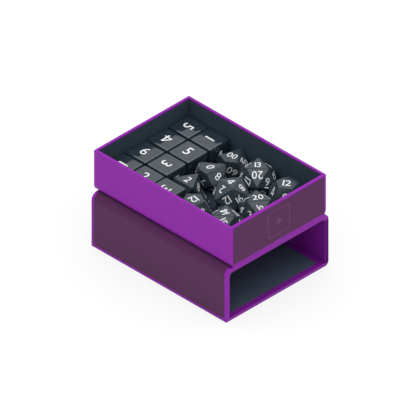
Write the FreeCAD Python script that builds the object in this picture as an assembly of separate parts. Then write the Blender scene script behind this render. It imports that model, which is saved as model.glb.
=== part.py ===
"""Dice storage chest: a leatherette-covered drawer standing on its own open-ended sleeve, full of dice.

Frame: millimetres, +Z up, origin at the centre of the sleeve's base, -Y is the front (the end with the panelled
drawer front), length along Y. The drawer is stored where it is set down: on top of the sleeve, above the tunnel
that it slides into. Each solid is written to parts/NODE.step.
"""
import math
import os

import FreeCAD
import Part

V = FreeCAD.Vector

# ---------------------------------------------------------------- dice
D6_SIZE = 15.7              # sold as 16 mm
D6_ROUND = 0.9
D6_GAP = 1.0                # between neighbours along a row of the block
D6_ROW_GAP = 0.75           # between the rows
D6_BACK_GAP = 0.85          # block to the back lining
D6_LEFT_GAP = 2.65          # block to the left lining
D6_RIGHT_GAP = 1.25         # block to the right lining
D20_SIZE = 19.0             # all the others: face to face
D12_SIZE = 17.4
D10_SIZE = 14.2
D8_SIZE = 12.3
D4_EDGE = 17.0
DIE_SEAT = 0.02             # air under each die
LOOSE_APART = 0.1           # least air between two dice
LOOSE_SIDE_GAP = 0.15       # least air between a loose die and a side lining
LOOSE_FRONT_GAP = 5.26      # least air between a loose die and the front lining

# ---------------------------------------------------------------- drawer
DRAWER_H = 27.0
DRAWER_WRAP = 0.3           # leatherette
DRAWER_BOARD = 0.95
DRAWER_R = 4.3              # both long bottom edges, outside
DRAWER_INNER_R = 2.5        # the same edges, inside the board
DRAWER_WALL_LINING = 0.45
DRAWER_FLOOR_LINING = 0.15
DRAWER_TURN_IN = 0.55       # leatherette turned over the rim and down the inside
FRONT_MARGIN_LEFT = 1.8     # bare border round the front facing
FRONT_MARGIN_RIGHT = 1.35
FRONT_MARGIN_FOOT = 2.0
FRONT_MARGIN_TOP = 1.2

# ---------------------------------------------------------------- sleeve
DRAWER_SIDE_CLEAR = 0.2     # drawer to tunnel wall, each side
DRAWER_TOP_CLEAR = 2.0      # drawer's rim to tunnel roof
DRAWER_OVERHANG = 0.85      # each end of the drawer stands out by this, so it can be pushed through
SLEEVE_WRAP = 0.4           # leatherette over the boards
SLEEVE_SIDE_BOARD = 2.0
SLEEVE_TOP_BOARD = 2.5
SLEEVE_BASE_BOARD = 1.4
SLEEVE_LINER = 0.2          # leatherette inside the tunnel
SLEEVE_TOP_R = 4.3          # both long top edges, outside
SLEEVE_FOOT_R = 2.7         # right-hand long bottom edge, outside
SLEEVE_MOUTH_R = 2.6        # top corners of the tunnel

FACING = 0.2                # suede facing, stands proud of the leatherette
FACING_END = 1.8            # bare border at the front and back ends of the sleeve
FACING_FOOT = 1.8           # bare border above the base on both sides
FACING_R = 2.0              # corners of the facing

FLOOR_LINING = 0.3          # suede-like lining sheet on the tunnel floor
FLOOR_MARGIN_END = 3.35
FLOOR_MARGIN_SIDE = 3.3
FLOOR_LINING_R = 2.0

PHI = (1 + math.sqrt(5)) / 2


def box(x0, x1, y0, y1, z0, z1):
    return Part.makeBox(x1 - x0, y1 - y0, z1 - z0, V(x0, y0, z0))


def rounded_plate(u0, u1, v0, v1, corners, place):
    """A face whose corners are rounded: corners = radii at (u0,v0), (u1,v0), (u1,v1), (u0,v1)."""
    points = [(u0, v0), (u1, v0), (u1, v1), (u0, v1)]
    edges, ends = [], []
    for i, (u, v) in enumerate(points):
        pu, pv = points[i - 1]
        nu, nv = points[(i + 1) % 4]
        r = corners[i]
        a = (u + math.copysign(r, pu - u) * (pu != u), v + math.copysign(r, pv - v) * (pv != v))
        b = (u + math.copysign(r, nu - u) * (nu != u), v + math.copysign(r, nv - v) * (nv != v))
        if r:
            k = 1 - math.sqrt(0.5)
            m = (u + (a[0] + b[0] - 2 * u) * k, v + (a[1] + b[1] - 2 * v) * k)
            edges.append((i, Part.Arc(place(*a), place(*m), place(*b)).toShape()))
        ends.append((a, b))
    wire = []
    arcs = dict(edges)
    for i in range(4):
        if i in arcs:
            wire.append(arcs[i])
        wire.append(Part.makeLine(place(*ends[i][1]), place(*ends[(i + 1) % 4][0])))
    return Part.Face(Part.Wire(wire))


def tube_profile(half_w, z0, z1, radii, y0, y1):
    """A solid bar along Y with a rounded section: radii at bottom left, bottom right, top right, top left."""
    face = rounded_plate(-half_w, half_w, z0, z1, radii, lambda x, z: V(x, y0, z))
    return face.extrude(V(0, y1 - y0, 0))


def solid_from_points(points):
    """The convex solid whose corners are the given points."""
    faces, seen = [], []
    n = len(points)
    for i in range(n):
        for j in range(i + 1, n):
            for k in range(j + 1, n):
                normal = (points[j] - points[i]).cross(points[k] - points[i])
                if normal.Length < 1e-6:
                    continue
                normal.normalize()
                side = [normal.dot(p - points[i]) for p in points]
                if max(side) > 1e-6 and min(side) < -1e-6:
                    continue
                ring = [p for p, s in zip(points, side) if abs(s) < 1e-6]
                if max(side) > 1e-6:
                    normal = normal * -1
                if any((normal - other).Length < 1e-6 for other in seen):
                    continue
                seen.append(normal)
                middle = sum(ring, V()) * (1 / len(ring))
                u = (ring[0] - middle).normalize()
                w = normal.cross(u)
                ring.sort(key=lambda p: round(math.atan2((p - middle).dot(w), (p - middle).dot(u)), 6) % (2 * math.pi))
                faces.append((normal, middle, ring))
    shell = Part.Shell([Part.Face(Part.makePolygon(ring + ring[:1])) for _, _, ring in faces])
    return Part.Solid(shell), faces


def corners_d4(edge):
    return [V(*c) * (edge / math.sqrt(8)) for c in ((1, 1, 1), (1, -1, -1), (-1, 1, -1), (-1, -1, 1))]


def corners_d8(size):
    s = size * math.sqrt(3) / 2
    return [V(s, 0, 0), V(-s, 0, 0), V(0, s, 0), V(0, -s, 0), V(0, 0, s), V(0, 0, -s)]


def corners_d10(size):
    """A pentagonal trapezohedron whose tips are as far from the centre as its belt corners."""
    step = (1 - math.cos(math.pi / 5)) / (1 + math.cos(math.pi / 5))
    r = size / 2 * math.sqrt((1 + step) ** 2 + 1)
    ring = [V(r * math.cos(k * math.pi / 5), r * math.sin(k * math.pi / 5), r * step * (1 if k % 2 else -1)) for k in range(10)]
    return [V(0, 0, r), V(0, 0, -r)] + ring


def corners_d12(size):
    s = size / 2 / (1.113516364 * 2 / PHI)
    out = []
    for a in (-1, 1):
        for b in (-1, 1):
            out += [V(a, b, -1), V(a, b, 1), V(0, a / PHI, b * PHI), V(a / PHI, b * PHI, 0), V(b * PHI, 0, a / PHI)]
    return [p * s for p in out]


def corners_d20(size):
    s = size / 2 / (0.755761314 * 2)
    out = []
    for a in (-1, 1):
        for b in (-PHI, PHI):
            out += [V(0, a, b), V(a, b, 0), V(b, 0, a)]
    return [p * s for p in out]


def laid_down(points, yaw):
    """Lays the die on a face, on z = 0, and turns it by yaw (degrees about +Z)."""
    _, faces = solid_from_points(points)
    normal, middle, ring = faces[0]
    z = normal * -1
    u = (ring[0] - middle).normalize()
    w = z.cross(u)
    a = math.radians(yaw)
    laid = [V(p.dot(u), p.dot(w), p.dot(z)) for p in points]
    low = min(p.z for p in laid)
    turned = [V(p.x * math.cos(a) - p.y * math.sin(a), p.x * math.sin(a) + p.y * math.cos(a), p.z - low) for p in laid]
    return solid_from_points(turned)[0]


def cube_die():
    h = D6_SIZE / 2
    cube = Part.makeBox(D6_SIZE, D6_SIZE, D6_SIZE, V(-h, -h, 0))
    return cube.makeFillet(D6_ROUND, cube.Edges)


def moved(shape, x, y, z):
    copy = shape.copy()
    copy.translate(V(x, y, z))
    return copy


# ================================================================ how the dice lie
# Plan coordinates here run from the corner of the left lining and the front faces of the block's second row:
# x to the right, y towards the front (negative: into the block).
d6_pitch = D6_SIZE + D6_GAP
d6_row_pitch = D6_SIZE + D6_ROW_GAP
cube = cube_die()
block = {}
for row in range(3):
    for column in range(4 if row < 2 else 1):
        block["d6_%d%d" % (row + 1, column + 1)] = (
            D6_LEFT_GAP + D6_SIZE / 2 + column * d6_pitch, (row - 1) * d6_row_pitch - D6_SIZE / 2)

KINDS = {
    "d4": corners_d4(D4_EDGE), "d8": corners_d8(D8_SIZE), "d10": corners_d10(D10_SIZE),
    "d12": corners_d12(D12_SIZE), "d20": corners_d20(D20_SIZE),
}
# name, yaw in degrees, x, y: each loose die as it lies in front of the block
LOOSE_DICE = [
    ("d20_right", 102.5, 58.26, 31.50),
    ("d20_middle", 53.8, 36.59, 32.48),
    ("d20_front", 114.4, 36.51, 53.15),
    ("d20_left", 97.0, 13.90, 50.30),
    ("d12_right", 0.4, 58.76, 53.37),
    ("d12_left", 44.8, 11.96, 28.29),
    ("d8_left", 61.8, 28.20, 7.84),
    ("d10_middle", 150.5, 44.32, 10.42),
    ("d10_right", 188.2, 60.46, 10.57),
    ("d4_left", 19.2, 25.94, 20.95),
]
laid = {name: laid_down(KINDS[name.split("_")[0]], yaw) for name, yaw, _, _ in LOOSE_DICE}


def loose_at(spread):
    """The loose dice, each as far from the corner as its place times spread; y runs backwards here, as in the frame."""
    return {name: moved(laid[name], x * spread, -y * spread, 0) for name, _, x, y in LOOSE_DICE}


def crowded(dice):
    """True if two loose dice, or a loose die and the block, are closer than they may be."""
    odd = moved(cube, block["d6_31"][0], -block["d6_31"][1], 0)
    row = box(0, 5 * d6_pitch, 0, D6_SIZE, 0, D6_SIZE)
    shapes = list(dice.values())
    for i, a in enumerate(shapes):
        for b in shapes[:i] + [odd, row]:
            near = a.BoundBox
            near.enlarge(LOOSE_APART)
            if near.intersect(b.BoundBox) and a.distToShape(b)[0] < LOOSE_APART:
                return True
    return False


# Dice of another size need more room: they move apart until they are clear of each other.
spread = 1.0
while crowded(loose_at(spread)):
    spread += 0.01
loose = loose_at(spread)

# The drawer is as wide and as long inside as its dice need.
left_shift = max(0, LOOSE_SIDE_GAP - min(die.BoundBox.XMin for die in loose.values()))
loose_w = max(die.BoundBox.XMax for die in loose.values()) + left_shift + LOOSE_SIDE_GAP
loose_l = -min(die.BoundBox.YMin for die in loose.values()) + LOOSE_FRONT_GAP
block_w = D6_LEFT_GAP + 3 * d6_pitch + D6_SIZE + D6_RIGHT_GAP
lined_half_w = max(block_w, loose_w) / 2
lined_half_l = (D6_BACK_GAP + D6_SIZE + d6_row_pitch + loose_l) / 2

# ================================================================ overall sizes that follow
DRAWER_HALF_W = lined_half_w + DRAWER_WALL_LINING + DRAWER_BOARD + DRAWER_WRAP
DRAWER_HALF_L = lined_half_l + DRAWER_WALL_LINING + DRAWER_BOARD + DRAWER_WRAP
TUNNEL_HALF_W = DRAWER_HALF_W + DRAWER_SIDE_CLEAR
TUNNEL_FLOOR = SLEEVE_WRAP + SLEEVE_BASE_BOARD + SLEEVE_LINER
TUNNEL_TOP = TUNNEL_FLOOR + FLOOR_LINING + DRAWER_H + DRAWER_TOP_CLEAR
SIDE_IN = SLEEVE_WRAP + SLEEVE_SIDE_BOARD
HALF_W = TUNNEL_HALF_W + SLEEVE_LINER + SIDE_IN
HALF_L = DRAWER_HALF_L - DRAWER_OVERHANG
SLEEVE_H = TUNNEL_TOP + SLEEVE_LINER + SLEEVE_TOP_BOARD + SLEEVE_WRAP
DRAWER_Z = SLEEVE_H + FACING
DRAWER_TOP = DRAWER_Z + DRAWER_H
BEYOND = SLEEVE_H           # far enough outside to cut with

parts = {}

# ================================================================ sleeve
# The boards fill this envelope; the leatherette is the layer outside it.
outside = tube_profile(HALF_W, 0, SLEEVE_H, (0, SLEEVE_FOOT_R, SLEEVE_TOP_R, SLEEVE_TOP_R), -HALF_L, HALF_L)
core_end = HALF_L - SLEEVE_WRAP
core = tube_profile(
    HALF_W - SLEEVE_WRAP, SLEEVE_WRAP, SLEEVE_H - SLEEVE_WRAP,
    (0, SLEEVE_FOOT_R - SLEEVE_WRAP, SLEEVE_TOP_R - SLEEVE_WRAP, SLEEVE_TOP_R - SLEEVE_WRAP), -core_end, core_end)
side_x = HALF_W - SIDE_IN
top_z = SLEEVE_H - SLEEVE_WRAP - SLEEVE_TOP_BOARD
base_z = SLEEVE_WRAP + SLEEVE_BASE_BOARD

parts["sleeve_left_board"] = core.common(box(-HALF_W, -side_x, -HALF_L, HALF_L, 0, SLEEVE_H))
parts["sleeve_right_board"] = core.common(box(side_x, HALF_W, -HALF_L, HALF_L, 0, SLEEVE_H))
parts["sleeve_top_board"] = core.common(box(-side_x, side_x, -HALF_L, HALF_L, top_z, SLEEVE_H))
parts["sleeve_base_board"] = core.common(box(-side_x, side_x, -HALF_L, HALF_L, 0, base_z))

# Leatherette: one sheet from the seam at the bottom left, over the top and round the bottom right edge, turned
# over the boards' ends; a separate base sheet closes the underside.
foot_x = HALF_W - SLEEVE_FOOT_R
board_hole = box(-side_x, side_x, -HALF_L, HALF_L, base_z, top_z)
skin = outside.cut(core).cut(board_hole)
base_slab = box(-HALF_W, foot_x, -HALF_L, HALF_L, 0, SLEEVE_WRAP)
parts["sleeve_wrap"] = skin.cut(base_slab)
parts["sleeve_base_wrap"] = base_slab

# Inner leatherette: a closed sheet round the tunnel, bridging its two top corners.
bore = tube_profile(TUNNEL_HALF_W, TUNNEL_FLOOR, TUNNEL_TOP, (0, 0, SLEEVE_MOUTH_R, SLEEVE_MOUTH_R), -HALF_L, HALF_L)
parts["sleeve_liner"] = board_hole.cut(bore)

# Dark facing over the sides and top, with a bare border all round.
facing_outside = tube_profile(
    HALF_W + FACING, 0, SLEEVE_H + FACING, (0, 0, SLEEVE_TOP_R + FACING, SLEEVE_TOP_R + FACING),
    -HALF_L + FACING_END, HALF_L - FACING_END)
facing = facing_outside.cut(outside).cut(box(-HALF_W - BEYOND, HALF_W + BEYOND, -HALF_L, HALF_L, 0, FACING_FOOT))
end = HALF_L - FACING_END
facing_outline = rounded_plate(
    -end, end, FACING_FOOT, SLEEVE_H + BEYOND, (FACING_R, FACING_R, 0, 0), lambda y, z: V(-HALF_W - BEYOND, y, z)
).extrude(V(2 * (HALF_W + BEYOND), 0, 0))
parts["sleeve_facing"] = facing.common(facing_outline)

lining_end = HALF_L - FLOOR_MARGIN_END
lining_side = TUNNEL_HALF_W - FLOOR_MARGIN_SIDE
parts["tunnel_floor_lining"] = rounded_plate(
    -lining_side, lining_side, -lining_end, lining_end, (FLOOR_LINING_R,) * 4, lambda x, y: V(x, y, TUNNEL_FLOOR)
).extrude(V(0, 0, FLOOR_LINING))

# ================================================================ drawer
# The tray board is one bent sheet: left side, floor and right side. The end boards stand inside it.
board_half_w = DRAWER_HALF_W - DRAWER_WRAP
board_half_l = DRAWER_HALF_L - DRAWER_WRAP
board_top = DRAWER_TOP - DRAWER_WRAP
floor_z = DRAWER_Z + DRAWER_WRAP + DRAWER_BOARD
inner_half_w = board_half_w - DRAWER_BOARD
inner_half_l = board_half_l - DRAWER_BOARD
board_r = DRAWER_R - DRAWER_WRAP
inner_r = DRAWER_INNER_R

tray_outside = tube_profile(board_half_w, DRAWER_Z + DRAWER_WRAP, board_top, (board_r, board_r, 0, 0), -board_half_l, board_half_l)
tray_inside = tube_profile(inner_half_w, floor_z, board_top, (inner_r, inner_r, 0, 0), -board_half_l, board_half_l)
parts["drawer_tray_board"] = tray_outside.cut(tray_inside)
parts["drawer_front_board"] = tray_inside.common(box(-HALF_W, HALF_W, -board_half_l, -inner_half_l, 0, board_top))
parts["drawer_back_board"] = tray_inside.common(box(-HALF_W, HALF_W, inner_half_l, board_half_l, 0, board_top))

# Leatherette over the outside, turned over the rim and down the inside. The underside is its own sheet.
drawer_outside = tube_profile(DRAWER_HALF_W, DRAWER_Z, DRAWER_TOP, (DRAWER_R, DRAWER_R, 0, 0), -DRAWER_HALF_L, DRAWER_HALF_L)
mouth_half_w = inner_half_w - DRAWER_WRAP
mouth_half_l = inner_half_l - DRAWER_WRAP
turn_z = board_top - DRAWER_TURN_IN
mouth = box(-mouth_half_w, mouth_half_w, -mouth_half_l, mouth_half_l, turn_z, DRAWER_TOP)
turn_in = box(-inner_half_w, inner_half_w, -inner_half_l, inner_half_l, turn_z, DRAWER_TOP).cut(mouth)
under_x = DRAWER_HALF_W - DRAWER_R
under_sheet = box(-under_x, under_x, -DRAWER_HALF_L, DRAWER_HALF_L, DRAWER_Z, DRAWER_Z + DRAWER_WRAP)
parts["drawer_wrap"] = drawer_outside.cut(tray_outside).fuse(turn_in).cut(mouth).cut(under_sheet).removeSplitter()
parts["drawer_base_wrap"] = under_sheet

# Front facing, standing proud of the leatherette on the drawer's front.
front_y = -DRAWER_HALF_L
parts["drawer_front_facing"] = box(
    -DRAWER_HALF_W + FRONT_MARGIN_LEFT, DRAWER_HALF_W - FRONT_MARGIN_RIGHT, front_y - FACING, front_y,
    DRAWER_Z + FRONT_MARGIN_FOOT, DRAWER_TOP - FRONT_MARGIN_TOP)

# Linings: two side linings, two end linings and the floor lining, all ending below the turned-in leatherette.
lining_top = turn_z
wall_z = floor_z + DRAWER_FLOOR_LINING
lined = tray_inside.common(box(-HALF_W, HALF_W, -inner_half_l, inner_half_l, floor_z, lining_top))
for name, sign in (("drawer_left_lining", -1), ("drawer_right_lining", 1)):
    x0, x1 = sorted((sign * inner_half_w, sign * (inner_half_w - DRAWER_WALL_LINING)))
    bend = sign * (inner_half_w - inner_r)
    strip = lined.cut(tube_profile(
        inner_half_w - DRAWER_WALL_LINING, wall_z, board_top,
        (inner_r - DRAWER_WALL_LINING, inner_r - DRAWER_WALL_LINING, 0, 0), -DRAWER_HALF_L, DRAWER_HALF_L))
    b0, b1 = sorted((sign * HALF_W, bend))
    parts[name] = strip.common(box(b0, b1, -inner_half_l, inner_half_l, floor_z, lining_top))
lined_space = tube_profile(
    lined_half_w, wall_z, lining_top, (inner_r - DRAWER_WALL_LINING,) * 2 + (0, 0), -inner_half_l, inner_half_l)
parts["drawer_front_lining"] = lined_space.common(box(-HALF_W, HALF_W, -inner_half_l, -lined_half_l, 0, lining_top))
parts["drawer_back_lining"] = lined_space.common(box(-HALF_W, HALF_W, lined_half_l, inner_half_l, 0, lining_top))
flat_x = inner_half_w - inner_r
parts["drawer_floor_lining"] = box(-flat_x, flat_x, -inner_half_l, inner_half_l, floor_z, wall_z)

# ================================================================ dice
SEAT = wall_z + DIE_SEAT
row_y = lined_half_l - D6_BACK_GAP - D6_SIZE - d6_row_pitch       # front faces of the block's second row
for name, (x, y) in block.items():
    parts[name] = moved(cube, x - lined_half_w, row_y - y, SEAT)
for name, die in loose.items():
    parts[name] = moved(die, left_shift - lined_half_w, row_y, SEAT)

os.makedirs("parts", exist_ok=True)
for name, shape in parts.items():
    solids = shape.Solids
    assert len(solids) == 1, "%s has %d solids" % (name, len(solids))
    solids[0].exportStep("parts/%s.step" % name)
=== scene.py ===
"""Looks of the dice storage chest: leatherette sleeve and drawer, suede facings, slate linings and dice."""
import math

import bmesh
import bpy
from mathutils import Matrix, Vector


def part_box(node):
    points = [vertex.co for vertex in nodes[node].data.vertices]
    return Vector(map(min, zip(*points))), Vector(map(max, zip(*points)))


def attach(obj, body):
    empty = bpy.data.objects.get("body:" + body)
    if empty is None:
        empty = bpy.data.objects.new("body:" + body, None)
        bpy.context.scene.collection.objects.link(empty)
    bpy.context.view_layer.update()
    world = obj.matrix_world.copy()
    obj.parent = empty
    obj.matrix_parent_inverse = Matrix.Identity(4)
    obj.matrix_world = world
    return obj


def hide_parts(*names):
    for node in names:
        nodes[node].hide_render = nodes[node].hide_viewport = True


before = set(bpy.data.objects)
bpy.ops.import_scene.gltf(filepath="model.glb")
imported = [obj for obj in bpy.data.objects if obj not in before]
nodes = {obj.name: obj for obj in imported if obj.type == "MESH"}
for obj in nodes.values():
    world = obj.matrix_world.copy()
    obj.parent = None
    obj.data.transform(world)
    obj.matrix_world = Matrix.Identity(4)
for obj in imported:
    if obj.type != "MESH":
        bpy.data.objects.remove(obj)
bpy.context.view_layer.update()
scene = bpy.context.scene

MM = 0.001
WELD = 0.001 * MM           # points closer than this are one point
ON_PLANE = 0.02 * MM        # a point this close to a plane lies in it
FLAT_ANGLE = math.radians(0.6)      # facets that turn less than this are one flat face
SHARP_ANGLE = math.radians(28)      # edges that turn more than this are eased
FACE_SHARE = 0.3            # a die's faces are larger than this share of its largest one


# ------------------------------------------------------------------ materials
class Shader:
    """Nodes of one material, laid out by short calls. Scales are per metre."""

    def __init__(self, name):
        self.material = bpy.data.materials.new(name)
        self.material.use_nodes = True
        self.tree = self.material.node_tree
        self.tree.nodes.clear()
        self.out = self.add("ShaderNodeOutputMaterial")
        self.bsdf = self.add("ShaderNodeBsdfPrincipled")
        self.link(self.bsdf.outputs["BSDF"], self.out.inputs["Surface"])
        self.place = self.add("ShaderNodeTexCoord").outputs["Object"]

    def add(self, kind, **values):
        node = self.tree.nodes.new(kind)
        for key, value in values.items():
            setattr(node, key, value)
        return node

    def link(self, a, b):
        self.tree.links.new(a, b)

    def set(self, **values):
        for key, value in values.items():
            self.bsdf.inputs[key.replace("_", " ")].default_value = value

    def noise(self, scale, detail=2.0, roughness=0.5, stretch=None):
        place = self.place
        if stretch:
            mapping = self.add("ShaderNodeMapping")
            mapping.inputs["Scale"].default_value = stretch
            self.link(place, mapping.inputs["Vector"])
            place = mapping.outputs["Vector"]
        node = self.add("ShaderNodeTexNoise")
        node.inputs["Scale"].default_value = scale
        node.inputs["Detail"].default_value = detail
        node.inputs["Roughness"].default_value = roughness
        self.link(place, node.inputs["Vector"])
        return node.outputs["Fac"]

    def cells(self, scale):
        """Distance to the edges of a pattern of pebbles."""
        node = self.add("ShaderNodeTexVoronoi", feature="DISTANCE_TO_EDGE")
        node.inputs["Scale"].default_value = scale
        self.link(self.place, node.inputs["Vector"])
        return node.outputs["Distance"]

    def ramp(self, fac, stops):
        node = self.add("ShaderNodeValToRGB")
        for element, (position, colour) in zip(node.color_ramp.elements, stops):
            element.position = position
            element.color = (*colour, 1)
        self.link(fac, node.inputs["Fac"])
        return node.outputs["Color"]

    def span(self, fac, low, high, start=0.3, end=0.7):
        """The part of fac from start to end, spread from low to high."""
        node = self.add("ShaderNodeMapRange")
        for key, value in (("From Min", start), ("From Max", end), ("To Min", low), ("To Max", high)):
            node.inputs[key].default_value = value
        self.link(fac, node.inputs["Value"])
        return node.outputs["Result"]

    def bump(self, height, distance, strength, under=None):
        node = self.add("ShaderNodeBump")
        node.inputs["Strength"].default_value = strength
        node.inputs["Distance"].default_value = distance
        self.link(height, node.inputs["Height"])
        if under:
            self.link(under, node.inputs["Normal"])
        return node.outputs["Normal"]

    def colour(self, socket):
        self.link(socket, self.bsdf.inputs["Base Color"])

    def rough(self, socket):
        self.link(socket, self.bsdf.inputs["Roughness"])

    def normal(self, socket):
        self.link(socket, self.bsdf.inputs["Normal"])


def around(colour, spread):
    """Two stops of a ramp, a little darker and a little lighter than the colour."""
    return [(0.3, [c * (1 - spread) for c in colour]), (0.7, [c * (1 + spread) for c in colour])]


def leatherette(name, colour, rough, specular):
    s = Shader(name)
    s.colour(s.ramp(s.noise(160, 4, 0.6), around(colour, 0.05)))
    s.rough(s.span(s.noise(900, 3), rough - 0.06, rough + 0.06))
    pebbles = s.bump(s.span(s.cells(2300), 0, 1, 0, 0.35), 0.03 * MM, 0.55)
    s.normal(s.bump(s.noise(420, 3), 0.04 * MM, 0.35, pebbles))
    s.set(Specular_IOR_Level=specular)
    return s.material


def suede(name, colour, mottle, sheen, tint):
    s = Shader(name)
    s.colour(s.ramp(s.noise(260, 5, 0.65), around(colour, mottle)))
    s.rough(s.span(s.noise(1500, 2), 0.86, 0.98))
    s.normal(s.bump(s.noise(3200, 3, 0.7), 0.05 * MM, 0.5))
    s.set(Specular_IOR_Level=0.2, Sheen_Weight=sheen, Sheen_Roughness=0.5, Sheen_Tint=tint)
    return s.material


def resin(name, smooth, index, colour, tint=(1, 1, 1, 1)):
    """Cast resin with a brushed look: one streaky noise drives colour, gloss and relief."""
    s = Shader(name)
    brushed = s.noise(1100, 3, 0.6, stretch=(0.10, 1.0, 0.6))
    s.colour(s.ramp(brushed, around(colour, 0.3)))
    s.rough(s.span(brushed, smooth, smooth + 0.07))
    s.normal(s.bump(brushed, 0.02 * MM, 0.6))
    s.set(IOR=index, Specular_Tint=tint)
    return s.material


def paint(name):
    s = Shader(name)
    s.colour(s.ramp(s.noise(700, 3), [(0.3, (0.80, 0.81, 0.82)), (0.7, (0.90, 0.90, 0.91))]))
    s.rough(s.span(s.noise(1200, 2), 0.38, 0.52))
    return s.material


def board(name):
    s = Shader(name)
    s.colour(s.ramp(s.noise(700, 5, 0.7, stretch=(1, 1, 4)), around((0.42, 0.38, 0.33), 0.15)))
    s.rough(s.span(s.noise(900, 2), 0.85, 0.97))
    s.normal(s.bump(s.noise(1800, 3, 0.7), 0.06 * MM, 0.5))
    return s.material


PLUM_SHEEN = (0.6, 0.45, 0.6, 1)
SLATE_SHEEN = (0.5, 0.6, 0.7, 1)
COOL_GLOSS = (0.93, 0.965, 1, 1)
PURPLE = leatherette("purple_leatherette", (0.253, 0.004, 0.359), rough=0.5, specular=0.24)
# a darker copy of the purple leatherette for the sleeve's inside: painted shade
PURPLE_SHADED_LINER = leatherette("purple_leatherette_liner_painted_shade", (0.187, 0.008, 0.266), rough=0.55, specular=0.26)
# a much darker copy of the purple leatherette: painted shade on the right wall's front end
PURPLE_PAINTED_SHADE = leatherette("purple_leatherette_painted_shade", (0.100, 0.003, 0.150), rough=0.6, specular=0.04)
FACING = suede("dark_suede", (0.0805, 0.0165, 0.0765), 0.06, 0.25, PLUM_SHEEN)
PRESSED = suede("dark_suede_pressed", (0.140, 0.048, 0.133), 0.05, 0.2, PLUM_SHEEN)
LINING = suede("slate_lining", (0.0302, 0.0497, 0.0715), 0.10, 0.10, SLATE_SHEEN)
# a lighter copy of the slate lining: painted light on the sleeve's shaded tunnel floor
TUNNEL_LINING_PAINTED_LIGHT = suede("slate_lining_tunnel_painted_light", (0.044, 0.064, 0.092), 0.10, 0.10, SLATE_SHEEN)
RESIN = resin("dice_resin", 0.06, 1.67, (0.019, 0.030, 0.042), COOL_GLOSS)
RESIN_FACETED = resin("dice_resin_faceted", 0.14, 1.43, (0.034, 0.049, 0.063))
RESIN_EDGE = resin("dice_resin_tumbled", 0.42, 1.2, (0.030, 0.043, 0.055))
PAINT = paint("numeral_paint")
BOARD = board("greyboard")


# ------------------------------------------------------------------ copies of the solids with eased edges
def flat_mesh(node):
    """The node's solid with its flat faces whole again."""
    bm = bmesh.new()
    bm.from_mesh(nodes[node].data)
    bmesh.ops.remove_doubles(bm, verts=bm.verts, dist=WELD)
    bmesh.ops.dissolve_limit(bm, angle_limit=FLAT_ANGLE, verts=bm.verts, edges=bm.edges)
    bm.normal_update()
    return bm


def sharp_edges(bm):
    return [e for e in bm.edges if e.is_manifold and e.is_convex and e.calc_face_angle(0) > SHARP_ANGLE]


def ease(bm, edges, width, segments, profile=0.5):
    """Rounds the edges over by width; a profile above 0.5 keeps them fuller. Gives the new faces."""
    return bmesh.ops.bevel(bm, geom=edges, offset=width, offset_type="OFFSET", segments=segments,
                           profile=profile, affect="EDGES", clamp_overlap=True)["faces"]


def close_up(bm):
    """Welds what meets and takes out edges and faces of no size, so that the mesh is one closed skin."""
    bmesh.ops.remove_doubles(bm, verts=bm.verts, dist=WELD)
    bmesh.ops.dissolve_degenerate(bm, edges=bm.edges, dist=WELD)
    bmesh.ops.triangulate(bm, faces=[f for f in bm.faces if len(f.verts) > 4])
    bmesh.ops.dissolve_degenerate(bm, edges=bm.edges, dist=WELD)


def finish_mesh(bm, name, materials, body, replaced, smooth_to=40):
    """Makes the piece, shaded smooth where it turns by up to smooth_to degrees, and ties it to its body."""
    close_up(bm)
    mesh = bpy.data.meshes.new(name)
    bm.to_mesh(mesh)
    bm.free()
    obj = bpy.data.objects.new(name, mesh)
    scene.collection.objects.link(obj)
    for material in materials:
        mesh.materials.append(material)
    mesh.shade_smooth()
    mesh.set_sharp_from_angle(angle=math.radians(smooth_to))
    weighted = obj.modifiers.new("normals", "WEIGHTED_NORMAL")
    weighted.keep_sharp = True
    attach(obj, body)
    if replaced:
        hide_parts(*replaced)
    return obj


def eased(node, material, body, width, segments=2, pick=None):
    """A copy of one node, its outer edges eased by width; pick says which of them, or all."""
    bm = flat_mesh(node)
    ease(bm, [e for e in sharp_edges(bm) if pick is None or pick(e)], width, segments)
    return finish_mesh(bm, node + "_skin", [material], body, [node])


def on_plane(edge, axis, value):
    return all(abs(v.co[axis] - value) < ON_PLANE for v in edge.verts)


def ends(edge, low, high):
    """True for the edges round the two end planes, across Y."""
    return on_plane(edge, 1, low) or on_plane(edge, 1, high)


s_low, s_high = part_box("sleeve_wrap")
t_low, t_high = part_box("sleeve_liner")
RIM_CLEAR = 0.5 * MM        # the sleeve's rim lies further outside the liner than this
WALL_STRIP = 1 * MM         # what lies this near the liner's right side belongs to its right wall
SHADE_STRIP_SHORT = 1 * MM         # the painted-shade strip on the right wall's front end stops this far below the liner's top


def sleeve_rim(edge):
    """True for the outer edges of the sleeve's two end rings."""
    middle = (edge.verts[0].co + edge.verts[1].co) / 2
    beside = middle.x < t_low.x - RIM_CLEAR or middle.x > t_high.x + RIM_CLEAR
    above = middle.z > t_high.z + RIM_CLEAR
    return ends(edge, s_low.y, s_high.y) and (beside or above)


def sleeve_liner_outside(edge):
    """True for the liner's edges against the boards."""
    return any(on_plane(edge, axis, value) for axis, value in
               ((0, t_low.x), (0, t_high.x), (2, t_low.z), (2, t_high.z)))


def right_mouth(edge):
    """True along the right wall at the front, beside the board's end where shade is painted."""
    return all(v.co.x > t_high.x - WALL_STRIP and v.co.y < 0 for v in edge.verts)


def liner_rim(edge):
    """True for the liner's bare edges at its two ends, but not along the right mouth."""
    bare = not sleeve_liner_outside(edge) and not right_mouth(edge)
    return ends(edge, t_low.y, t_high.y) and bare


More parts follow.
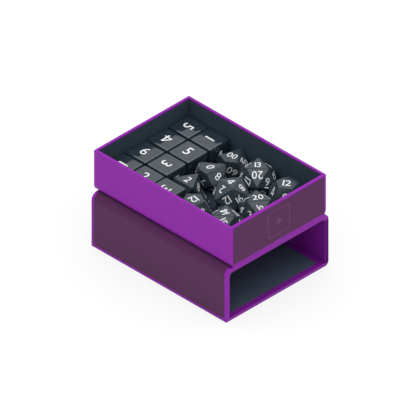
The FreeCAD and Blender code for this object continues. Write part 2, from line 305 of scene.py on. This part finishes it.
def sleeve_skin():
    """The sleeve's leatherette. At the right wall's front end a darker purple is painted on the board's end:
    painted shade.
    """
    bm = flat_mesh("sleeve_wrap")
    shade_strip_top = t_high.z - SHADE_STRIP_SHORT
    for place, across in (((t_high.x, 0, 0), (1, 0, 0)), ((0, 0, shade_strip_top), (0, 0, 1))):
        whole = bm.verts[:] + bm.edges[:] + bm.faces[:]
        bmesh.ops.bisect_plane(bm, geom=whole, plane_co=place, plane_no=across)
    bm.normal_update()
    ease(bm, [e for e in sharp_edges(bm) if sleeve_rim(e)], 0.35 * MM, 3)
    # painted shade: the front ring's faces beside the right wall, below the strip's top, take the darker
    # purple
    for face in bm.faces:
        c = face.calc_center_median()
        if abs(c.y - s_low.y) < ON_PLANE / 2 and c.x > t_high.x and t_low.z < c.z < shade_strip_top:
            face.material_index = 1
    return finish_mesh(bm, "sleeve_wrap_skin", [PURPLE, PURPLE_PAINTED_SHADE], "sleeve",
                       ["sleeve_wrap"])


sleeve_skin()
eased("sleeve_base_wrap", PURPLE, "sleeve", width=0.12 * MM)
eased("sleeve_liner", PURPLE_SHADED_LINER, "sleeve", width=0.16 * MM,
      pick=liner_rim)
eased("sleeve_facing", FACING, "sleeve", width=0.1 * MM)
eased("tunnel_floor_lining", TUNNEL_LINING_PAINTED_LIGHT, "sleeve", width=0.12 * MM)

eased("drawer_wrap", PURPLE, "drawer", width=0.28 * MM, segments=3)
eased("drawer_base_wrap", PURPLE, "drawer", width=0.1 * MM)
for lining in ("drawer_left_lining", "drawer_right_lining", "drawer_front_lining", "drawer_back_lining"):
    eased(lining, LINING, "drawer", width=0.12 * MM)
eased("drawer_floor_lining", LINING, "drawer", width=0.05 * MM, segments=1)
for node in ("sleeve_left_board", "sleeve_right_board", "sleeve_top_board", "sleeve_base_board",
             "drawer_tray_board", "drawer_front_board", "drawer_back_board"):
    nodes[node].data.materials.clear()
    nodes[node].data.materials.append(BOARD)


# ------------------------------------------------------------------ the drawer's front, with its pressed mark
MARK_DEPTH = 0.09 * MM
MARK_OUTSIDE = (8.6 * MM, 2.6 * MM)     # half width and corner radius of the pressed line's outer edge
MARK_INSIDE = (7.8 * MM, 1.9 * MM)      # and of its inner edge
PIP_RADIUS = 1.7 * MM


def rounded_square(half, radius, steps=8):
    points = []
    for quarter in range(4):
        a0 = quarter * math.pi / 2
        c = Vector((math.cos(a0 + math.pi / 4), math.sin(a0 + math.pi / 4))) * (half - radius) * math.sqrt(2)
        for k in range(steps + 1):
            a = a0 + k * math.pi / 2 / steps
            points.append(c + Vector((math.cos(a), math.sin(a))) * radius)
    return points


def circle(radius, steps=28):
    turns = [2 * math.pi * k / steps for k in range(steps)]
    return [Vector((math.cos(a), math.sin(a))) * radius for a in turns]


def cutter(outlines, y0, y1, centre):
    """A solid inside one outline, or between two nested ones, in the XZ plane, from y0 to y1."""
    bm = bmesh.new()
    rings = []
    for points in outlines:
        rings.append([[bm.verts.new((centre.x + p.x, y, centre.z + p.y)) for p in points] for y in (y0, y1)])
    for near, far in rings:
        for i in range(len(near)):
            j = (i + 1) % len(near)
            bm.faces.new((near[i], near[j], far[j], far[i]))
    if len(rings) == 1:
        bm.faces.new(rings[0][0])
        bm.faces.new(rings[0][1])
    else:
        for layer in (0, 1):
            a, b = rings[0][layer], rings[1][layer]
            for i in range(len(a)):
                j = (i + 1) % len(a)
                bm.faces.new((a[i], a[j], b[j], b[i]))
    bmesh.ops.recalc_face_normals(bm, faces=bm.faces)
    mesh = bpy.data.meshes.new("cutter")
    bm.to_mesh(mesh)
    bm.free()
    obj = bpy.data.objects.new("cutter", mesh)
    scene.collection.objects.link(obj)
    return obj


def mesh_of(obj):
    """The object's mesh with its modifiers or its text worked out."""
    bpy.context.view_layer.update()
    return bpy.data.meshes.new_from_object(obj.evaluated_get(bpy.context.evaluated_depsgraph_get()))


f_low, f_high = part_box("drawer_front_facing")
facing = eased("drawer_front_facing", FACING, "drawer", width=0.1 * MM)
middle = Vector(((f_low.x + f_high.x) / 2, 0, (f_low.z + f_high.z) / 2))
bottom = f_low.y + MARK_DEPTH
marks = [cutter(outlines, f_low.y - 1 * MM, bottom, middle) for outlines in
         ([rounded_square(*MARK_OUTSIDE), rounded_square(*MARK_INSIDE)], [circle(PIP_RADIUS)])]
for mark in marks:
    cut = facing.modifiers.new("pressed", "BOOLEAN")
    cut.operation, cut.solver, cut.object = "DIFFERENCE", "EXACT", mark
pressed_mesh = mesh_of(facing)
facing.modifiers.clear()
facing.data = pressed_mesh
for mark in marks:
    bpy.data.objects.remove(mark)
pressed_mesh.shade_flat()
pressed_mesh.materials.append(PRESSED)
for face in pressed_mesh.polygons:
    if face.normal.y < -0.9 and abs(face.center.y - bottom) < ON_PLANE / 2:
        face.material_index = 1


# ------------------------------------------------------------------ dice
def face_list(node):
    """The die's flat faces, without any roundings between them: (normal, centre, corners)."""
    bm = flat_mesh(node)
    biggest = max(f.calc_area() for f in bm.faces)
    found = [(f.normal.copy(), f.calc_center_median_weighted(), [v.co.copy() for v in f.verts])
             for f in bm.faces if f.calc_area() > FACE_SHARE * biggest]
    bm.free()
    return found


def die_body(node):
    if node.startswith("d6"):
        low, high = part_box(node)
        bm = bmesh.new()
        bmesh.ops.create_cube(bm, size=1)
        side = high - low
        for v in bm.verts:
            v.co = low + Vector(((v.co.x + 0.5) * side.x, (v.co.y + 0.5) * side.y, (v.co.z + 0.5) * side.z))
        # cubes are pillowed: the rounding starts far in and stays full
        ease(bm, list(bm.edges), 3.2 * MM, 10, profile=0.84)
        resins = [RESIN]
    else:
        bm = flat_mesh(node)
        # the other dice keep crisp faces, with edges left dull by the tumbler
        for face in ease(bm, list(bm.edges), 0.30 * MM, 3):
            face.material_index = 1
        resins = [RESIN_FACETED, RESIN_EDGE]
    return finish_mesh(bm, node + "_skin", resins, node, [node], smooth_to=60)


# an open 4, as cast dice have it: outline and counter, one unit high
FOUR = [[(0.46, 0), (0.61, 0), (0.61, 0.22), (0.78, 0.22), (0.78, 0.35), (0.61, 0.35),
         (0.61, 1), (0.43, 1), (0, 0.36), (0, 0.22), (0.46, 0.22)],
        [(0.46, 0.35), (0.15, 0.35), (0.46, 0.80)]]
STROKE_GAIN = 0.002         # how far the font's outline is grown, in text sizes
LETTER_GAP = 0.10           # in heights of a numeral
BAR_TOP, BAR_BOTTOM = -0.17, -0.30      # the bar under 6 and 9, in heights of a numeral above its foot
NUMERAL_PROUD, NUMERAL_DEEP = 0.03 * MM, 0.10 * MM
characters = {}
glyphs = {}


def flat_shape(curve):
    """Points and faces of a filled 2-D curve or line of text."""
    obj = bpy.data.objects.new("flat_shape", curve)
    scene.collection.objects.link(obj)
    mesh = mesh_of(obj)
    bpy.data.objects.remove(obj)
    return [Vector((v.co.x, v.co.y)) for v in mesh.vertices], [list(p.vertices) for p in mesh.polygons]


def character(sign):
    """One numeral, a unit high, its left end at x = 0."""
    if sign not in characters:
        if sign == "4":
            curve = bpy.data.curves.new("four", "CURVE")
            curve.dimensions, curve.fill_mode = "2D", "BOTH"
            for ring in FOUR:
                spline = curve.splines.new("POLY")
                spline.points.add(len(ring) - 1)
                for point, (x, y) in zip(spline.points, ring):
                    point.co = (x, y, 0, 1)
                spline.use_cyclic_u = True
        else:
            curve = bpy.data.curves.new("numeral", "FONT")
            curve.body = "I" if sign == "1" else sign      # ones are plain bars
            curve.size, curve.resolution_u, curve.offset = 1.0, 3, STROKE_GAIN
        points, faces = flat_shape(curve)
        x0, y0 = min(p.x for p in points), min(p.y for p in points)
        high = max(p.y for p in points) - y0
        characters[sign] = ([Vector(((p.x - x0) / high, (p.y - y0) / high)) for p in points], faces)
    return characters[sign]


def glyph(text):
    """Points and faces of a number of unit height, centred; a final _ asks for the bar under 6 and 9."""
    if text not in glyphs:
        points, faces, along = [], [], 0.0
        for sign in text.rstrip("_"):
            shape, pattern = character(sign)
            faces += [[len(points) + i for i in face] for face in pattern]
            points += [Vector((p.x + along, p.y)) for p in shape]
            along = max(p.x for p in points) + LETTER_GAP
        width = along - LETTER_GAP
        if text.endswith("_"):
            n = len(points)
            bar = ((0, BAR_BOTTOM), (width, BAR_BOTTOM), (width, BAR_TOP), (0, BAR_TOP))
            points += [Vector(c) for c in bar]
            faces.append([n, n + 1, n + 2, n + 3])
        glyphs[text] = ([Vector((p.x - width / 2, p.y - 0.5)) for p in points], faces)
    return glyphs[text]


def put_glyph(bm, text, height, centre, right, up, normal):
    """Sets a numeral into a face: a thin closed inlay that ends just proud of it."""
    points, faces = glyph(text)
    tops = [bm.verts.new(centre + right * p.x * height + up * p.y * height + normal * NUMERAL_PROUD)
            for p in points]
    made = [bm.faces.new([tops[i] for i in face]) for face in faces]
    bmesh.ops.remove_doubles(bm, verts=tops, dist=WELD / 10)
    made = [f for f in made if f.is_valid]
    sunk = bmesh.ops.extrude_face_region(bm, geom=made)
    for v in sunk["geom"]:
        if isinstance(v, bmesh.types.BMVert):
            v.co -= normal * (NUMERAL_PROUD + NUMERAL_DEEP)


def in_face(normal, turn):
    """The directions right and up of a numeral on a face, turned anticlockwise by turn degrees."""
    flat = Vector((0, 0, 1)).cross(normal)
    flat = Vector((1, 0, 0)) if flat.length < 0.02 else flat.normalized()
    over = normal.cross(flat)
    a = math.radians(turn)
    right = flat * math.cos(a) + over * math.sin(a)
    return right, normal.cross(right)


def nearest_corner(up, centre, points, kite):
    """Numerals stand towards a corner of their face, on a pentagon or towards a side, on a kite along it."""
    ways = [(p - centre).normalized() for p in points]
    if len(points) == 5:
        ways += [-w for w in ways]
    if kite:
        tip = max(points, key=lambda p: (p - centre).length)
        ways = [(tip - centre).normalized(), (centre - tip).normalized()]
    return max(ways, key=lambda w: w.dot(up))


def count_to(last):
    return [str(n) for n in range(1, last + 1)]


KIND = {  # numerals of each kind of die, and their height in millimetres
    "d6": (count_to(6), 6.6),
    "d8": (count_to(8), 4.9),
    "d10": ([str(n) for n in range(10)], 4.7),
    "d100": (["00"] + [str(10 * n) for n in range(1, 10)], 4.3),
    "d12": (count_to(12), 5.2),
    "d20": (count_to(20), 4.4),
}
D4_NUMERAL = 3.0 * MM
D4_PLACE = 0.42             # of the way from the middle of a face to its corner
# die: (numeral, height of its face's normal above the horizon, that normal's bearing from +X,
#       turn of the numeral in the face), all in degrees
NUMERALS = {
    "d6_11": [("1", 90, 0, 0)],
    "d6_12": [("6", 90, 0, -90)],
    "d6_13": [("4", 90, 0, 90)],
    "d6_14": [("5", 90, 0, 180)],
    "d6_21": [("2", 90, 0, -90)],
    "d6_22": [("3", 90, 0, 180)],
    "d6_23": [("5", 90, 0, -90)],
    "d6_24": [("1", 90, 0, 0)],
    "d6_31": [("3", 90, 0, 180)],
    "d20_right": [("13", 90, 0, -65), ("20", 48, -152, -178), ("9", 19, -114, 10), ("10", 19, -70, -62),
                  ("17", 19, 170, -116), ("7", 48, -32, -145)],
    "d20_middle": [("4", 90, 0, -100), ("2", 48, -179, 176), ("8", 48, -59, 166), ("12", 19, -141, -162),
                   ("16", 19, -97, 16)],
    "d20_front": [("20", 90, 0, -28), ("6", 48, -121, 2), ("7", 48, 119, 152)],
    "d20_left": [("14", 90, 0, 83), ("15", 48, -130, -34)],
    "d12_right": [("12", 90, 0, -45), ("5", 27, -141, -171), ("4", 27, 147, 33)],
    "d12_left": [("12", 90, 0, 180), ("11", 27, -98, -29)],
    "d8_left": [("2", 90, 0, -77)],
    "d10_middle": [("0", 90, 0, -103), ("8", 38, -72, -77)],
    "d10_right": [("00", 90, 0, -54)],
}
UNDERLINED = {"6": "6_", "9": "9_"}
STRIDE = 7                  # step through the numerals that are left, so that neighbours aren't in a row


def direction(height, bearing):
    h, b = math.radians(height), math.radians(bearing)
    return Vector((math.cos(h) * math.cos(b), math.cos(h) * math.sin(b), math.sin(h)))


def numbered(node):
    """(numeral, face, turn or None, height) for every face: those in NUMERALS, then the rest in pairs."""
    kind = "d100" if node == "d10_right" else node.split("_")[0]
    marks, height = KIND[kind]
    faces = face_list(node)
    faces.sort(key=lambda f: (-round(f[0].z, 2),
                              round(math.atan2(f[0].y, f[0].x) % (2 * math.pi - 1e-4), 2)))
    given = {}
    for text, h, b, turn in NUMERALS[node]:
        toward = direction(h, b)
        best = max(range(len(faces)), key=lambda i: faces[i][0].dot(toward))
        given[best] = (text, turn)
    opposite = [min(range(len(faces)), key=lambda j, n=f[0]: faces[j][0].dot(n)) for f in faces]
    for i, (text, _) in list(given.items()):
        given.setdefault(opposite[i], (marks[len(marks) - 1 - marks.index(text)], None))
    left = [m for m in marks if m not in [t for t, _ in given.values()]]
    for i in range(len(faces)):
        if i not in given:
            text = left.pop((STRIDE * i) % len(left))
            given[i] = (text, None)
            pair = marks[len(marks) - 1 - marks.index(text)]
            if pair in left and opposite[i] not in given:
                left.remove(pair)
                given[opposite[i]] = (pair, None)
    for i, (text, turn) in sorted(given.items()):
        if len(marks) > 8 and kind != "d100":
            text = UNDERLINED.get(text, text)
        yield text, faces[i], turn, height * MM


def d4_numerals(bm, node):
    """Three on a face, one at each corner, the same at a corner on all the faces that meet there."""
    faces = face_list(node)
    corners = []
    for _, _, points in faces:
        for p in points:
            if all((p - q).length > 0.1 * MM for q in corners):
                corners.append(p)
    for normal, centre, points in faces:
        for p in points:
            which = min(range(len(corners)), key=lambda k: (corners[k] - p).length)
            up = (p - centre).normalized()
            put_glyph(bm, str(which + 1), D4_NUMERAL, centre.lerp(p, D4_PLACE), up.cross(normal), up, normal)


def numerals(node):
    bm = bmesh.new()
    if node.startswith("d4"):
        d4_numerals(bm, node)
    else:
        for text, (normal, centre, points), turn, height in numbered(node):
            if node.startswith("d6"):
                right, up = in_face(normal, turn or 0)
            elif turn is None:
                far = max(points, key=lambda p: round((p - centre).length, 5) + 1e-6 * p.z)
                up = (far - centre).normalized()
                right = up.cross(normal)
            else:
                up = nearest_corner(in_face(normal, turn)[1], centre, points, node.startswith("d10"))
                right = up.cross(normal)
            put_glyph(bm, text, height, centre, right, up, normal)
    bmesh.ops.recalc_face_normals(bm, faces=bm.faces)
    return finish_mesh(bm, node + "_numerals", [PAINT], node, [], smooth_to=30)


for node in sorted(nodes):
    if node[0] == "d" and node[1].isdigit():
        die_body(node)
        numerals(node)


# ------------------------------------------------------------------ floor, light and camera
WORLD_LIGHT = 0.52
SUN_LIGHT = 2.1
SUN_SPREAD = math.radians(90)
SUN_TILT = math.radians(4)
FLOOR_SIZE = 6
FLOOR_DROP = 0.2 * MM       # keeps the paper clear of the chest's underside
PAPER_WHITE = 0.75          # share of plain white in the paper as it is seen, which makes its shadow lighter
VIEW_WIDTH = 0.2264
VIEW_HEIGHT_ANGLE = math.radians(35)
AIM_RIGHT, AIM_UP = -0.00109, 0.02554
VIEW_DISTANCE = 0.8


def seen_directly(tree):
    """1 for rays from the camera and for glossy and transmitted ones, 0 for diffuse and shadow rays."""
    path = tree.nodes.new("ShaderNodeLightPath")
    total = path.outputs["Is Camera Ray"]
    for name in ("Is Glossy Ray", "Is Transmission Ray"):
        most = tree.nodes.new("ShaderNodeMath")
        most.operation = "MAXIMUM"
        tree.links.new(total, most.inputs[0])
        tree.links.new(path.outputs[name], most.inputs[1])
        total = most.outputs[0]
    return total


bpy.ops.mesh.primitive_plane_add(size=FLOOR_SIZE, location=(0, 0, -FLOOR_DROP))
floor = bpy.context.object
floor.name = "floor"
shade = Shader("floor_paper")
shade.colour(shade.ramp(shade.noise(3, 2), [(0.3, (0.93, 0.93, 0.93)), (0.7, (0.95, 0.95, 0.95))]))
shade.set(Roughness=0.9, Specular_IOR_Level=0.0)
# the white shows to the camera, in gloss and through glass, and diffuse rays don't pick it up
white = shade.add("ShaderNodeEmission")
white.inputs["Strength"].default_value = 1.0
part = shade.add("ShaderNodeMath", operation="MULTIPLY")
part.inputs[1].default_value = PAPER_WHITE
shade.link(seen_directly(shade.tree), part.inputs[0])
paper = shade.add("ShaderNodeMixShader")
shade.link(part.outputs[0], paper.inputs[0])
shade.link(shade.bsdf.outputs["BSDF"], paper.inputs[1])
shade.link(white.outputs[0], paper.inputs[2])
shade.link(paper.outputs[0], shade.out.inputs["Surface"])
floor.data.materials.append(shade.material)

world = bpy.data.worlds.new("studio")
scene.world = world
world.use_nodes = True
tree = world.node_tree
tree.nodes.clear()
out = tree.nodes.new("ShaderNodeOutputWorld")
mix = tree.nodes.new("ShaderNodeMixShader")
tree.links.new(seen_directly(tree), mix.inputs[0])
for socket, strength in ((1, WORLD_LIGHT), (2, 1.0)):
    sky = tree.nodes.new("ShaderNodeBackground")
    sky.inputs["Color"].default_value = (1, 1, 1, 1)
    sky.inputs["Strength"].default_value = strength
    tree.links.new(sky.outputs[0], mix.inputs[socket])
tree.links.new(mix.outputs[0], out.inputs["Surface"])

sun = bpy.data.objects.new("sun", bpy.data.lights.new("sun", "SUN"))
sun.data.energy = SUN_LIGHT
sun.data.angle = SUN_SPREAD
sun.rotation_euler = (SUN_TILT, -SUN_TILT, 0)
scene.collection.objects.link(sun)

# a parallel view from the front left, along the diagonal between -X and -Y
right = Vector((1, -1, 0)).normalized()
rise = math.sin(VIEW_HEIGHT_ANGLE) / math.sqrt(2)
up = Vector((rise, rise, math.cos(VIEW_HEIGHT_ANGLE)))
back = right.cross(up)
camera = bpy.data.objects.new("camera", bpy.data.cameras.new("camera"))
camera.data.type = "ORTHO"
camera.data.ortho_scale = VIEW_WIDTH
camera.data.clip_start, camera.data.clip_end = 0.01, 5
camera.matrix_world = Matrix((right, up, back)).transposed().to_4x4()
camera.location = right * AIM_RIGHT + up * AIM_UP + back * VIEW_DISTANCE
scene.collection.objects.link(camera)
scene.camera = camera
scene.view_settings.view_transform = "Standard"
